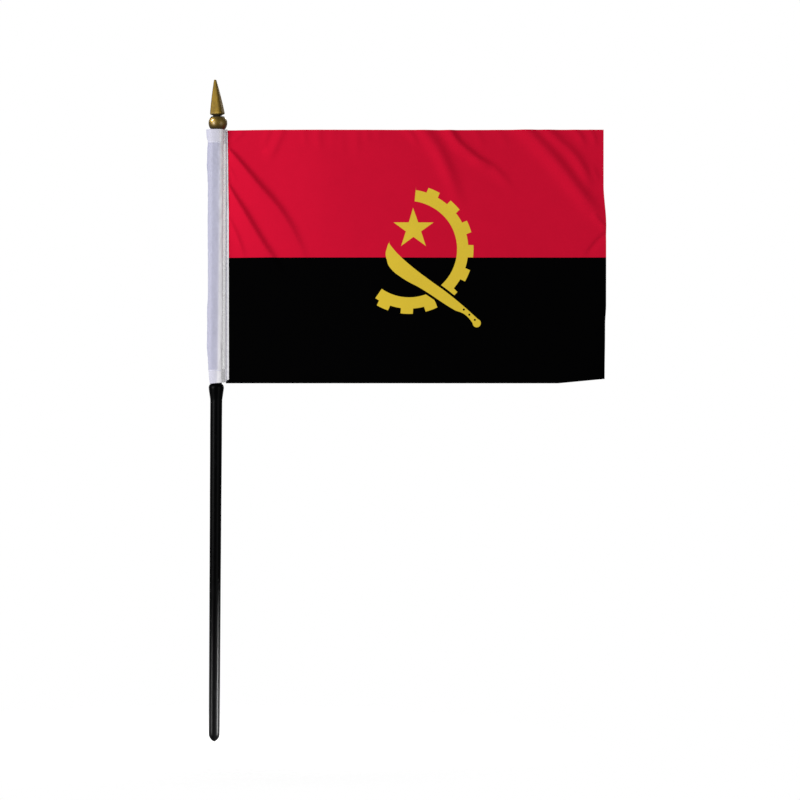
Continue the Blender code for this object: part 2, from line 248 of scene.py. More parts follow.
class Shader:
    """A material with one Principled shader, and the ways to add nodes before it."""

    def __init__(self, name):
        self.material = bpy.data.materials.new(name)
        self.material.use_nodes = True
        self.tree = self.material.node_tree
        self.surface = self.tree.nodes["Principled BSDF"]

    def put(self, socket, value):
        if isinstance(value, Value):
            self.tree.links.new(value.socket, socket)
        else:
            socket.default_value = value

    def node(self, kind, settings=None, inputs=None, output=0):
        """Adds a node: its settings first, then the values or links of its sockets."""
        made = self.tree.nodes.new(kind)
        for name, value in (settings or {}).items():
            if name == "stops":
                fill_ramp(made.color_ramp, value)
            elif name == "curve":
                fill_curve(made.mapping, value)
            else:
                setattr(made, name, value)
        for name, value in (inputs or {}).items():
            self.put(made.inputs[name], value)
        return Value(self, made.outputs[output])

    def maths(self, operation, *values):
        return self.node("ShaderNodeMath", {"operation": operation}, dict(enumerate(values)))

    def place(self):
        """A point's place in its object's own axes, in metres."""
        return self.node("ShaderNodeTexCoord", output="Object")

    def split(self, vector):
        """The three numbers of a vector."""
        parts = self.node("ShaderNodeSeparateXYZ", None, {"Vector": vector})
        return [Value(self, socket) for socket in parts.socket.node.outputs]

    def stepped(self, value, low, high):
        """0 up to low, 1 from high on, and an even slope between them."""
        stops = [(low, (0, 0, 0, 1)), (high, (1, 1, 1, 1))]
        return self.node("ShaderNodeValToRGB", {"stops": stops}, {"Fac": value})

    def mixed(self, factor, first, second):
        """A colour between two colours."""
        colours = [(*c, 1.0) if isinstance(c, tuple) else c for c in (first, second)]
        inputs = {0: factor, 6: colours[0], 7: colours[1]}
        return self.node("ShaderNodeMix", {"data_type": "RGBA"}, inputs, output=2)

    def clouds(self, place, scale, detail=2.0, roughness=0.5):
        inputs = {"Vector": place, "Scale": scale, "Detail": detail, "Roughness": roughness}
        return self.node("ShaderNodeTexNoise", None, inputs)

    def bumped(self, height, distance, strength=1.0):
        inputs = {"Height": height, "Distance": distance, "Strength": strength}
        return self.node("ShaderNodeBump", None, inputs)

    def finish(self, **sockets):
        """Sets the Principled shader's sockets, whose names have _ for a space."""
        for name, value in sockets.items():
            if isinstance(value, tuple):
                value = (*value, 1.0)
            self.put(self.surface.inputs[name.replace("_", " ")], value)
        return self.material


def fill_ramp(ramp, stops):
    for element, (place, tone) in zip(ramp.elements, stops):
        element.position = place
        element.color = tone
    for place, tone in stops[len(ramp.elements) :]:
        ramp.elements.new(place).color = tone


def fill_curve(mapping, points):
    curve = mapping.curves[0]
    for spot, place in zip(curve.points, (points[0], points[-1])):
        spot.location = place
    for place in points[1:-1]:
        curve.points.new(*place)
    mapping.update()


# Mesh helpers.


def eased(values):
    """0 to 1 with a soft start and end."""
    values = np.clip(values, 0.0, 1.0)
    return values * values * (3 - 2 * values)


def rough(points, scale, seed):
    """Smooth noise from -1 to 1 at each point, with its three scales in metres."""
    flat = (points / np.array(scale)).reshape(-1, 3) + seed
    return np.array([noise.noise(place) for place in flat]).reshape(points.shape[:-1])


def unit(vectors):
    """The same directions, each of length 1."""
    return vectors / np.linalg.norm(vectors, axis=-1, keepdims=True)


def run_along(points):
    """How far each point is along the line that joins them."""
    return np.concatenate([[0.0], np.cumsum(np.linalg.norm(np.diff(points, axis=0), axis=1))])


def read_along(stops, run, points):
    """Points on a line at these stops, from its own points and how far along it each one is."""
    return np.stack([np.interp(stops, run, axis) for axis in points.T], axis=1)


def around(sides):
    """The angles of points evenly round a circle."""
    return np.linspace(0.0, 2 * math.pi, sides, endpoint=False)


def turned(radii, heights, angles):
    """Points round the Z axis."""
    heights = np.broadcast_to(heights, radii.shape)
    return np.stack([radii * np.cos(angles), radii * np.sin(angles), heights], axis=-1)


def hung(mesh):
    """Tilts a piece of the flag a little, as its loose sleeve does on the staff."""
    pivot = Matrix.Translation((0.0, 0.0, HANG_PIVOT))
    mesh.transform(pivot @ Matrix.Rotation(-bpy.context.scene.stick_flag.hang, 4, "Y") @ pivot.inverted())
    return mesh


def add_piece(name, mesh, material, body, node):
    """Shows a mesh in place of its CAD node."""
    piece = bpy.data.objects.new(name, mesh)
    bpy.context.scene.collection.objects.link(piece)
    mesh.materials.append(material)
    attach(piece, body)
    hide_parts(node)
    return piece


def made_mesh(name, points, faces, sharp):
    """A smooth mesh whose faces point out, with hard edges where they meet at over this many degrees."""
    mesh = bpy.data.meshes.new(name)
    mesh.from_pydata(points.reshape(-1, 3).tolist(), [], faces)
    shape = bmesh.new()
    shape.from_mesh(mesh)
    bmesh.ops.recalc_face_normals(shape, faces=shape.faces)
    shape.to_mesh(mesh)
    shape.free()
    mesh.shade_smooth()
    mesh.set_sharp_from_angle(angle=math.radians(sharp))
    return mesh


def lofted_faces(rings, sides, closed_ring=False):
    """Faces through rings of points, with a face across each end or, if closed_ring, back to the start."""
    faces = []
    spans = rings if closed_ring else rings - 1
    for ring in range(spans):
        low, high = ring * sides, (ring + 1) % rings * sides
        for side in range(sides):
            after = (side + 1) % sides
            faces.append((low + side, low + after, high + after, high + side))
    if not closed_ring:
        faces.append(tuple(reversed(range(sides))))
        faces.append(tuple(range((rings - 1) * sides, rings * sides)))
    return faces


def thin_sheet(name, middle, thickness, flat):
    """A closed sheet of this thickness round a grid of points, with its map for baking.

    flat is each point's place on the uncreased cloth.
    """
    rows, columns = middle.shape[:2]
    normals = unit(np.cross(np.gradient(middle, axis=1), np.gradient(middle, axis=0)))
    offsets = normals * thickness / 2
    points = np.concatenate([(middle + offsets).reshape(-1, 3), (middle - offsets).reshape(-1, 3)])
    index = np.arange(rows * columns).reshape(rows, columns)
    quads = [index[:-1, :-1], index[:-1, 1:], index[1:, 1:], index[1:, :-1]]
    quads = np.stack(quads, axis=-1).reshape(-1, 4)
    ring = np.concatenate([index[0, :], index[1:, -1], index[-1, -2::-1], index[-2:0:-1, 0]])
    after = np.roll(ring, -1)
    other = rows * columns
    rim = np.stack([ring, ring + other, after + other, after], axis=-1)
    faces = np.concatenate([quads, quads[:, ::-1] + other, rim])
    mesh = made_mesh(name, points, faces.tolist(), sharp=60.0)

    places = np.zeros((2 * other, 3), np.float32)
    places[:, :2] = np.tile(flat.reshape(-1, 2), (2, 1))
    mesh.attributes.new(PLACE, "FLOAT_VECTOR", "POINT").data.foreach_set("vector", places.ravel())

    # The map's two halves are for the sheet's two faces.
    corners = np.zeros(len(mesh.loops), np.int32)
    mesh.loops.foreach_get("vertex_index", corners)
    low, high = places[:, :2].min(axis=0), places[:, :2].max(axis=0)
    spots = 0.01 + 0.98 * (places[corners, :2] - low) / (high - low)
    spots[:, 1] = spots[:, 1] * 0.49 + np.where(corners < other, 0.505, 0.005)
    mesh.uv_layers.new(name=BAKE_MAP).uv.foreach_set("vector", spots.astype(np.float32).ravel())
    return mesh


def curve_through(points, steps):
    """A smooth curve through points, by the Catmull-Rom formula."""
    points = np.array(points, float)
    padded = np.concatenate([[2 * points[0] - points[1]], points, [2 * points[-1] - points[-2]]])
    spots = []
    for a, b, c, d in zip(padded, padded[1:], padded[2:], padded[3:]):
        for step in range(steps):
            t = step / steps
            curved = (2 * a - 5 * b + 4 * c - d) * t**2 + (3 * b - a - 3 * c + d) * t**3
            spots.append(0.5 * (2 * b + (c - a) * t + curved))
    return np.array([*spots, points[-1]])


# Staff.

STAFF_POLE = 0.05 * MM  # the radius of the smallest rings, at the staff's two ends
STAFF_WAVES = (4 * MM, 4 * MM, 9 * MM)
STAFF_SWELL = 0.012 * MM
PARTING_WIDTH = 0.045  # in radians


def turned_outline(node):
    """(radius, height) corners of a turned CAD node, from its foot to its top."""
    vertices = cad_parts[node].data.vertices
    spots = {(round(v.co.z, 6), -round(math.hypot(v.co.x, v.co.y), 6)) for v in vertices}
    return np.array([(-radius, height) for height, radius in sorted(spots)])


def evenly_along(outline, spacing):
    """Points this far apart along an outline."""
    run = run_along(outline)
    stops = np.linspace(0.0, run[-1], max(2, round(run[-1] / spacing)))
    return read_along(stops, run, outline)


def rounded(outline, passes):
    """An outline with its corners worn round and its ends kept."""
    for _ in range(passes):
        outline[1:-1] = (outline[:-2] + 2 * outline[1:-1] + outline[2:]) / 4
    return outline


def blunt_foot(outline, nose):
    """The outline with its foot made into a blunt, rounded nose of this height."""
    upper = outline[outline[:, 1] > nose]
    heights = nose * np.linspace(0.0, 1.0, 16, endpoint=False) ** 2
    radii = upper[0, 0] * (1 - (1 - heights / nose) ** 2) ** 0.75
    return np.concatenate([np.stack([radii, heights], axis=1), upper])


def parting_ridge(angles, height):
    """The low ridge where the mould's two halves met, on the sides towards +X and -X."""
    return height * np.exp(-((np.sin(angles) / PARTING_WIDTH) ** 2))


def staff_mesh(settings):
    """The CAD's staff with worn corners, a blunt foot, a parting line and a slightly uneven surface."""
    outline = evenly_along(turned_outline("staff"), settings.ring_spacing / 4)
    passes = round((4 * settings.corner_radius / settings.ring_spacing) ** 2 / 2)
    outline = blunt_foot(evenly_along(rounded(outline, passes), settings.ring_spacing), settings.nose)
    outline[0, 0] = outline[-1, 0] = STAFF_POLE
    angles = around(settings.sides)
    ridge = parting_ridge(angles, settings.parting_line)
    radii = outline[:, :1] + ridge * eased(outline[:, :1] / (1.5 * MM))
    points = turned(radii, outline[:, 1:], angles)
    swell = rough(points, STAFF_WAVES, 3.0) * STAFF_SWELL
    points[..., :2] *= 1 + (swell / np.maximum(radii, 0.5 * MM))[..., None]
    return made_mesh("staff", points, lofted_faces(len(outline), settings.sides), sharp=50.0)


def black_plastic(settings):
    """Moulded black plastic, with faint lengthwise streaks and scuffs."""
    shader = Shader("gloss_black_plastic")
    place = shader.place()
    streaks = shader.node("ShaderNodeMapping", None, {"Vector": place, "Scale": (1.0, 1.0, 0.06)})
    drawn = shader.clouds(streaks, 900.0, detail=4.0)
    orange_peel = shader.clouds(place, 450.0)
    scuffs = shader.clouds(place, 260.0, detail=6.0, roughness=0.7)
    worn = shader.stepped(scuffs, 0.52, 0.72)
    dusty = tuple(3.5 * part + 0.001 for part in settings.colour)
    return shader.finish(
        Base_Color=shader.mixed(worn * 0.5, tuple(settings.colour), dusty),
        Roughness=settings.roughness + 0.16 * drawn + 0.14 * worn - 0.08,
        Specular_IOR_Level=0.035,
        Normal=shader.bumped(orange_peel + 0.4 * drawn, 0.02 * MM, 0.5),
    )


# Finial.

BALL_PARTING_LINE = 0.03 * MM
SPEAR_LEVELS = 48
SPEAR_BOW = 0.24  # how far the faces bow out, as a share of their slope
SPEAR_CHAMFER = 0.045  # how much narrower its foot is, as a share of its width
SPEAR_DOME = 0.22 * MM  # the height of the blunt tip's dome
SPEAR_WAVES = (1.6 * MM, 1.6 * MM, 3.0 * MM)
SPEAR_DENTS = 0.006
NECK_HEIGHT = BALL_HIGH.z + 0.2 * MM  # the middle of the dark gap between the ball and the spear


def ball_mesh(settings):
    """A bored ball with a flat foot and a flat top."""
    outline = turned_outline("finial_ball")
    radius = outline[:, 0].max()
    bore = outline[:, 0].min()
    centre = outline[outline[:, 0].argmax(), 1]
    low, high = (math.asin((z - centre) / radius) for z in (BALL_LOW.z, BALL_HIGH.z))
    rise = np.linspace(low, high, settings.sides // 2)
    outside = np.stack([radius * np.cos(rise), centre + radius * np.sin(rise)], axis=1)
    inside = np.array([(bore, BALL_HIGH.z), (bore, BALL_LOW.z)])
    outline = np.concatenate([outside, inside])
    angles = around(settings.sides)
    ridge = np.where(outline[:, :1] > 1.5 * bore, parting_ridge(angles, BALL_PARTING_LINE), 0.0)
    points = turned(outline[:, :1] + ridge, outline[:, 1:], angles)
    faces = lofted_faces(len(outline), settings.sides, closed_ring=True)
    return made_mesh("finial_ball", points, faces, sharp=40.0)


def spear_ring(half_side, height, squareness, sides):
    """A ring between a circle, at squareness 2, and a sharp square."""
    angles = around(sides)
    reach = np.abs(np.cos(angles)) ** squareness + np.abs(np.sin(angles)) ** squareness
    return turned(half_side / reach ** (1 / squareness), height, angles)


def spear_mesh(settings):
    """A peg, a neck, a chamfered base and four bowed faces up to a blunt, rounded tip."""
    sides = settings.sides
    tip = settings.spear_length
    base = settings.spear_base
    peg = settings.spear_peg / 2
    neck = settings.spear_neck / 2
    seat = SPEAR_HIGH.z - settings.spear_length
    rings = [spear_ring(peg, SPEAR_LOW.z - seat, 2.0, sides), spear_ring(peg, 0.0, 2.0, sides)]
    rings += [spear_ring(neck, 0.0, 2.0, sides), spear_ring(neck, 0.2 * MM, 2.2, sides)]
    for level in range(SPEAR_LEVELS + 1):
        up = level / SPEAR_LEVELS
        bowed = 1 - up + SPEAR_BOW * up * (1 - up)
        side = settings.spear_tip + (settings.spear_side - settings.spear_tip) * bowed
        side *= 1 - SPEAR_CHAMFER * math.exp(-((up / 0.02) ** 2))
        rings.append(spear_ring(side / 2, base + (tip - base) * up, 6.0 - 2.0 * up, sides))
    for level in (0.35, 0.7, 0.93):
        side = settings.spear_tip * math.sqrt(1 - level**2)
        rings.append(spear_ring(side / 2, tip + SPEAR_DOME * level, 3.0, sides))
    points = np.array(rings)
    dents = rough(points, SPEAR_WAVES, 11.0)
    points[..., :2] *= 1 + SPEAR_DENTS * dents[..., None]
    mesh = made_mesh("finial_spear", points, lofted_faces(len(rings), sides), sharp=40.0)
    lean = Matrix.Rotation(settings.spear_lean, 4, "Y") @ Matrix.Rotation(settings.spear_turn, 4, "Z")
    mesh.transform(Matrix.Translation((-settings.spear_shift, 0.0, seat)) @ lean)
    return mesh


def gold_plastic(settings):
    """Vacuum-metallised gold under a thin lacquer, dulled in patches, with painted shade: darker on the
    ball's lower half, and near black in the gap at the neck.
    """
    shader = Shader("metallised_gold_plastic")
    place = shader.place()
    patches = shader.clouds(place, 420.0, detail=4.0, roughness=0.6)
    grain = shader.clouds(place, 2600.0, detail=2.0)
    dulled = shader.stepped(patches, 0.42, 0.66)
    height = shader.split(place)[2]
    from_neck = abs(height - NECK_HEIGHT) / MM
    # Painted shade: the gold is painted near black within a millimetre of the neck, where shade falls in
    # the gap between the ball and the spear. There it also loses its shine and its coat.
    painted_neck_shade = 1 - ((from_neck - 0.25) / 0.75).clamped()
    # Painted shade: the gold is painted darker towards the ball's lower half, where less light falls. It is
    # mixed with the real dulled patches.
    under = ((BALL_HIGH.z - 2.2 * MM - height) / (3 * MM)).clamped()
    on_ball = ((BALL_HIGH.z - height) / (0.5 * MM)).clamped()
    dulled_and_underside_shade = (0.15 * dulled + 0.95 * under).clamped()
    gold = shader.mixed(dulled_and_underside_shade, tuple(settings.colour), tuple(settings.worn_colour))
    return shader.finish(
        Base_Color=shader.mixed(painted_neck_shade * 0.95, gold, (0.004, 0.0035, 0.003)),
        Metallic=0.96 - 0.2 * dulled - 0.6 * painted_neck_shade,
        Roughness=settings.roughness + 0.12 * dulled + 0.08 * grain + 0.3 * painted_neck_shade,
        Coat_Weight=(0.06 + 0.44 * on_ball) * (1 - painted_neck_shade),
        Coat_Roughness=0.24,
        Normal=shader.bumped(patches + 0.25 * grain, 0.05 * MM, 0.55),
    )


# Flag cloth. The folds take up TAKEN_UP of the cloth's length along its top, the cloth is ironed
# IRONED longer than it was cut, and its lower fly corner curls back and up.

TAKEN_UP = 1.05 * MM
IRONED = 0.38 * MM
EDGE_LIFT = 0.18 * MM  # each of the two steps by which the top edge rises towards the fly
WAVE_TURNS = 0.86  # how much of a slow wave the flag's length holds
WAVE_LEAN = 0.12
WAVE_START = 0.06
SLACK_SIZE = (26 * MM, 1.0, 20 * MM)
SLACK_DEPTH = 0.35 * MM
CURL_LENGTH = 19 * MM
CURL_HEIGHT = 26 * MM
CURL_BACK = 3.2 * MM
CURL_UP = 1.8 * MM

# Each fold's crest runs through points given as (flown, dropped) in millimetres. Its flanks reach
# this far towards the hoist and towards the fly, and it fades over shares of its run. A pinched fold
# starts at that share of its rise, and slopes evenly up to its crest from the sleeve.

FOLD_PARTS = "crest rise hoist_flank fly_flank fade_in fade_out pinch"
Fold = namedtuple("Fold", FOLD_PARTS, defaults=(0.0, 0.5, 1.0))

UPPER_CREST = ((-0.4, 7.2), (3, 11), (12, 22.3), (20.4, 32.2), (26.4, 42), (31, 52.5), (34, 60))
LOWER_CREST = ((-0.6, 20.2), (1.2, 24.3), (6.4, 33.4), (12.8, 44.2), (19, 53.4), (24, 61))
FLY_CREST = ((119.4, -2), (124.6, 3.6), (132.2, 11.8), (140, 21.6), (146.6, 30.6), (154, 40))

HOIST_FOLDS = (
    Fold(UPPER_CREST, 1.9, 14.0, 1.9, 0.4, 0.75, 0.3),
    Fold(LOWER_CREST, 1.55, 9.0, 1.7, 0.38, 0.4, 0.16),
    Fold(((-0.6, 34.2), (1.6, 38), (5.2, 47.2), (7.6, 56)), 0.5, 3.0, 1.2, 0.5, 0.5, 0.1),
    Fold(((-0.6, 13.6), (1.2, 16.4), (3.8, 22)), 0.3, 2.4, 1.0, 0.5, 0.6, 0.15),
    Fold(((7, -1), (4.4, 2.2), (0.6, 5)), 0.2, 1.4, 1.0, 0.3, 0.3),
    Fold(((17, -2), (15.6, 3), (13.4, 7.6)), 0.24, 1.6, 1.2),
    Fold(((22.6, -2), (19.8, 5), (17.4, 9.6), (14.4, 13)), 0.46, 2.4, 1.7),
)
TOP_FOLDS = (
    Fold(((30.6, -1), (31, 4), (31.6, 8)), 0.14, 1.5, 1.2),
    Fold(((36.6, -2), (36.8, 4), (37.8, 10.5)), 0.25, 1.7, 1.4),
    Fold(((43, -2), (42.8, 3), (43.2, 9)), 0.17, 1.9, 1.4),
    Fold(((45.6, 0), (46, 5), (46.8, 12)), 0.13, 1.5, 1.3, 0.3, 0.5),
    Fold(((52, -1), (52.2, 5), (52.7, 13)), 0.22, 2.2, 1.5, 0.2, 0.5),
    Fold(((56.4, -2), (56.4, 3), (57, 6)), 0.16, 1.3, 1.1),
    Fold(((61, -2), (61.2, 2), (61.8, 5)), 0.12, 1.4, 1.2),
    Fold(((70.6, -2), (74.6, 2.2), (78.4, 8)), 0.4, 1.7, 1.2),
    Fold(((76, -4), (83.6, 5.6), (87.2, 12), (90.2, 19), (93.4, 28), (95.6, 35)), 1.15, 2.9, 2.7, 0.0, 0.6),
    Fold(((88.6, -2), (93, 4.6), (97.4, 8.6), (102.6, 12.6), (108, 15.2)), 1.2, 2.4, 1.5, 0.0, 0.35),
    Fold(((98, 10.6), (104.6, 13.4), (109.2, 16.6), (113.6, 21.6), (117.6, 27)), 0.6, 2.4, 1.5, 0.3, 0.6),
    Fold(((98.6, -2), (102, 3), (104.2, 8)), 0.2, 1.8, 1.3),
    Fold(((107.6, -2), (111.4, 3), (114.4, 8)), 0.16, 1.8, 1.4),
)
FLY_FOLDS = (
    Fold(FLY_CREST, 1.7, 3.2, 2.9, 0.0, 0.35),
    Fold(((127.4, -2), (133.8, 4.2), (140.4, 10.4), (144.8, 17.2), (148.4, 25)), 1.15, 2.2, 2.1, 0.0, 0.3),
    Fold(((138.6, -2), (142.8, 2.4), (145.6, 8)), 0.55, 1.6, 1.1),
    Fold(((146, -2), (148.6, 3.4), (149.4, 8)), 0.36, 1.4, 0.9),
    Fold(((147.4, 13), (149.2, 17.6), (151.2, 22)), 0.3, 1.4, 0.9, 0.4, 0.5),
    Fold(((146.6, 33), (149.4, 36.2), (153, 40)), 0.5, 1.4, 0.9, 0.4, 0.2),
    Fold(((154, 40.6), (150, 43.4), (146.4, 47.4), (143.6, 52)), -0.5, 0.8, 2.0, 0.0, 0.4),
)


def fold_depth(flown, dropped, fold):
    """How far one fold stands towards the front, on a grid of places in millimetres."""
    crest = curve_through(fold.crest, 24)
    run = np.linspace(0.0, 1.0, len(crest))
    ways = unit(np.gradient(crest, axis=0))
    offsets = np.stack([flown.ravel(), dropped.ravel()], axis=1)[:, None, :] - crest[None, :, :]
    nearest = (offsets**2).sum(axis=2).argmin(axis=1)
    offset = offsets[np.arange(len(nearest)), nearest]
    way = ways[nearest]
    aside = offset[:, 0] * way[:, 1] - offset[:, 1] * way[:, 0]
    apart = np.linalg.norm(offset, axis=1)
    begun = np.clip(run / fold.fade_in, 0.0, 1.0) if fold.fade_in else np.ones(len(run))
    pinched = fold.pinch < 1.0
    strength = fold.pinch + (1 - fold.pinch) * begun if pinched else eased(begun)
    flank = np.where(aside > 0, fold.fly_flank, fold.hoist_flank)
    if pinched:
        flank = flank * strength[nearest] ** 0.9
    strength = strength * eased((1 - run) / fold.fade_out)
    depth = fold.rise * strength[nearest] * np.exp(-((apart / flank) ** 2))
    if pinched:
        crest_flown = np.maximum(crest[nearest, 0], 0.5)
        depth *= np.where(aside > 0, 1.0, np.clip(flown.ravel() / crest_flown, 0.0, 1.0))
    return depth.reshape(flown.shape)


def spread(start, bands, end):
    """Places from start to end. Each band is (the last place that it reaches, its spacing)."""
    places = [start]
    for last, spacing in bands:
        last = min(last, end)
        steps = max(1, round((last - places[-1]) / spacing))
        places.extend(np.linspace(places[-1], last, steps + 1)[1:])
    return np.array(places)


def cloth_middle(settings):
    """(points, flat places) of the cloth's middle surface, row by row from the top edge down."""
    grid = settings.grid
    bands = ((8 * MM, 0.3 * grid), (36 * MM, 0.75 * grid), (70 * MM, 1.4 * grid), (FLOWN_LENGTH, grid))
    along = spread(CLOTH_LOW.x - SLEEVE_HIGH.x, bands, FLOWN_LENGTH)
    down = spread(0.0, ((56 * MM, 0.75 * grid), (CUT_HEIGHT, 1.8 * grid)), CUT_HEIGHT)
    flown, dropped = np.meshgrid(along, down)
    depth = np.zeros_like(flown)
    for fold in (*HOIST_FOLDS, *TOP_FOLDS, *FLY_FOLDS):
        depth += fold_depth(flown / MM, dropped / MM, fold) * MM * settings.fold_scale
    held = eased(flown / (0.7 * MM))
    slow = eased(flown / (40 * MM))
    phase = flown / FLOWN_LENGTH * WAVE_TURNS - WAVE_LEAN * dropped / CUT_HEIGHT + WAVE_START
    depth += slow * settings.billow * np.sin(2 * math.pi * phase)
    spots = np.stack([flown, np.zeros_like(flown), dropped], axis=-1)
    depth += slow * SLACK_DEPTH * rough(spots, SLACK_SIZE, 5.0)

    taken_up = TAKEN_UP * (1 - eased((dropped - 22 * MM) / (16 * MM))) - 0.15 * MM
    taken_up += 0.4 * MM * eased((dropped - 70 * MM) / (8 * MM))
    lifted = EDGE_LIFT * eased(flown / (14 * MM)) + EDGE_LIFT * eased((flown - 85 * MM) / (35 * MM))
    ironed = (IRONED + lifted) / CUT_HEIGHT
    corner = np.clip((flown - FLOWN_LENGTH + CURL_LENGTH) / CURL_LENGTH, 0.0, 1.0)
    corner = corner * eased((dropped - CUT_HEIGHT + CURL_HEIGHT) / CURL_HEIGHT)
    x = SLEEVE_HIGH.x + flown - taken_up * eased(flown / FLOWN_LENGTH)
    y = -depth * held + CURL_BACK * corner**1.5
    z = CLOTH_HIGH.z + lifted - dropped * (1 + ironed) + CURL_UP * corner
    return np.stack([x, y, z], axis=-1), np.stack([flown, dropped], axis=-1)


# The printed device: part of a toothed wheel, a star and a broad blade, with sizes in millimetres.
# Wheel angles run clockwise from the top, and the blade's edges run along it from its point.
WHEEL_CENTRE = (72.9, 47.8)
WHEEL_INNER = 19.35
WHEEL_OUTER = 23.88
WHEEL_TOOTH_TIP = 25.98
WHEEL_START = math.radians(7.7)
WHEEL_END = math.radians(214.5)
WHEEL_BREAK_START = math.radians(145.0)
WHEEL_BREAK_END = math.radians(153.5)
TOOTH_PITCH = math.radians(22.5)
TOOTH_FIRST = math.radians(24.4)
TOOTH_WIDTH = 4.95
STAR_CENTRE = (74.7, 39.7)
STAR_RADIUS = 8.45
STAR_POINT = math.radians(18.0)  # half the angle of a five-pointed star's tip
STAR_REPEAT = math.radians(72.0)
BLADE_START = (63.3, 44.35)
BLADE_ANGLE = math.atan2(0.667, 0.745)
BLADE_GAP = 1.0
BLADE_BACK = ((1.7, 0.85), (4.8, -0.32), (10.2, -0.71), (15.8, -0.56), (23, 0.04))
BLADE_BACK += ((36.8, 1.31), (49.8, 1.62))
BLADE_BELLY = ((1.7, 0.85), (2.4, -1.5), (5.6, -5.3), (10.6, -7.0), (14.2, -6.75), (23.9, -4.65))
BLADE_BELLY += ((39.5, -2.05), (42.2, -1.0), (44.5, -0.55), (47.4, -0.75), (49.8, -1.62))
KNOB_PLACE = (49.8, 0.1)
KNOB_RADIUS = 1.65
RIVET_PLACES = ((42.1, 0.55), (45.2, 0.55), (48.3, 0.55))
RIVET_RADIUS = 0.42
PRINT_EDGE = 0.12  # how softly the ink's edge ends


def printed(distance):
    """1 inside a printed shape and 0 outside it, from the distance inside its edge in millimetres."""
    return (distance / PRINT_EDGE + 0.5).clamped()


def hypotenuse(x, y):
    return (x * x + y * y) ** 0.5


def least(found, *others):
    for other in others:
        found = found.maths("MINIMUM", other)
    return found


def most(found, *others):
    for other in others:
        found = found.maths("MAXIMUM", other)
    return found


def read_curve(shader, place, points):
    """The value of a curve through (place, value) points, at a place."""
    places, values = zip(*points)
    first, run = places[0], places[-1] - places[0]
    low, span = min(values), max(values) - min(values)
    curve = [((at - first) / run, (value - low) / span) for at, value in points]
    read = shader.node("ShaderNodeFloatCurve", {"curve": curve}, {"Value": (place - first) / run})
    return read * span + low


def blade_mask(shader, flown, dropped):
    """(the blade's print, the blade grown by the gap that the wheel leaves round it)."""
    x = flown - BLADE_START[0]
    y = dropped - BLADE_START[1]
    along = x * math.cos(BLADE_ANGLE) + y * math.sin(BLADE_ANGLE)
    across = x * math.sin(BLADE_ANGLE) - y * math.cos(BLADE_ANGLE)
    above = across - read_curve(shader, along, BLADE_BELLY)
    below = read_curve(shader, along, BLADE_BACK) - across
    ends = least(along - BLADE_BACK[0][0], BLADE_BACK[-1][0] - along)
    inside = least(above, below, ends)
    shape = most(inside, KNOB_RADIUS - hypotenuse(along - KNOB_PLACE[0], across - KNOB_PLACE[1]))
    for place in RIVET_PLACES:
        shape = least(shape, hypotenuse(along - place[0], across - place[1]) - RIVET_RADIUS)
    return printed(shape), printed(inside + BLADE_GAP)


def wheel_mask(shader, flown, dropped):
    """The print of the toothed part of a wheel, with a break near its lower end."""
    x = flown - WHEEL_CENTRE[0]
    y = WHEEL_CENTRE[1] - dropped
    radius = hypotenuse(x, y)
    turn = x.maths("ARCTAN2", y) % (2 * math.pi)
    off_tooth = abs((turn - TOOTH_FIRST + TOOTH_PITCH / 2) % TOOTH_PITCH - TOOTH_PITCH / 2) * radius
    tooth = least(TOOTH_WIDTH / 2 - off_tooth, WHEEL_TOOTH_TIP - radius)
    rim = most(WHEEL_OUTER - radius, tooth)
    ends = least((turn - WHEEL_START) * radius, (WHEEL_END - turn) * radius)
    lower_part = most(WHEEL_BREAK_START - turn, turn - WHEEL_BREAK_END) * radius
    return printed(least(rim, radius - WHEEL_INNER, ends, lower_part))


def star_mask(shader, flown, dropped):
    """The print of the five-pointed star."""
    x = flown - STAR_CENTRE[0]
    y = STAR_CENTRE[1] - dropped
    radius = hypotenuse(x, y)
    turn = abs((x.maths("ARCTAN2", y) + STAR_REPEAT / 2) % STAR_REPEAT - STAR_REPEAT / 2)
    outward = (radius * turn.maths("COSINE") - STAR_RADIUS) * math.sin(STAR_POINT)
    sideways = radius * turn.maths("SINE") * math.cos(STAR_POINT)
    return printed(-(outward + sideways))


def weave(shader, flown, dropped, spacing):
    """The height of a plain weave, from 0 to 1, as two sets of yarns that go over and under."""
    warp = (flown * (math.pi / spacing)).maths("SINE")
    weft = (dropped * (math.pi / spacing)).maths("SINE")
    return (warp * weft) * 0.5 + 0.5


def cloth_places(shader):
    """(flown, dropped) in millimetres, and the place as a vector in metres."""
    place = shader.node("ShaderNodeAttribute", {"attribute_name": PLACE}, output="Vector")
    flown, dropped, _ = shader.split(place)
    return flown / MM, dropped / MM, place


def printed_cloth(settings):
    """Plain-woven polyester, printed in two bands with the device across them."""
    shader = Shader("printed_polyester")
    flown, dropped, place = cloth_places(shader)
    blade, round_blade = blade_mask(shader, flown, dropped)
    wheel = wheel_mask(shader, flown, dropped) * (1 - round_blade)
    device = most(blade, wheel, star_mask(shader, flown, dropped))
    lower = printed(dropped - settings.band_height / MM)
    bands = shader.mixed(lower, tuple(settings.upper_colour), tuple(settings.lower_colour))
    ink = shader.mixed(device, bands, tuple(settings.device_colour))
    uneven = shader.clouds(place, 160.0, detail=5.0, roughness=0.65)
    faded = shader.node("ShaderNodeHueSaturation", None, {"Value": 0.955 + 0.09 * uneven, "Color": ink})
    yarns = weave(shader, flown, dropped, settings.yarn_spacing / MM)
    slubs = shader.clouds(place, 1800.0, detail=2.0)
    return shader.finish(
        Base_Color=faded,
        Roughness=0.72 + 0.1 * uneven + 0.08 * yarns,
        Specular_IOR_Level=0.015,
        Normal=shader.bumped(yarns + 0.5 * slubs, 0.014 * MM, 0.5),
    )


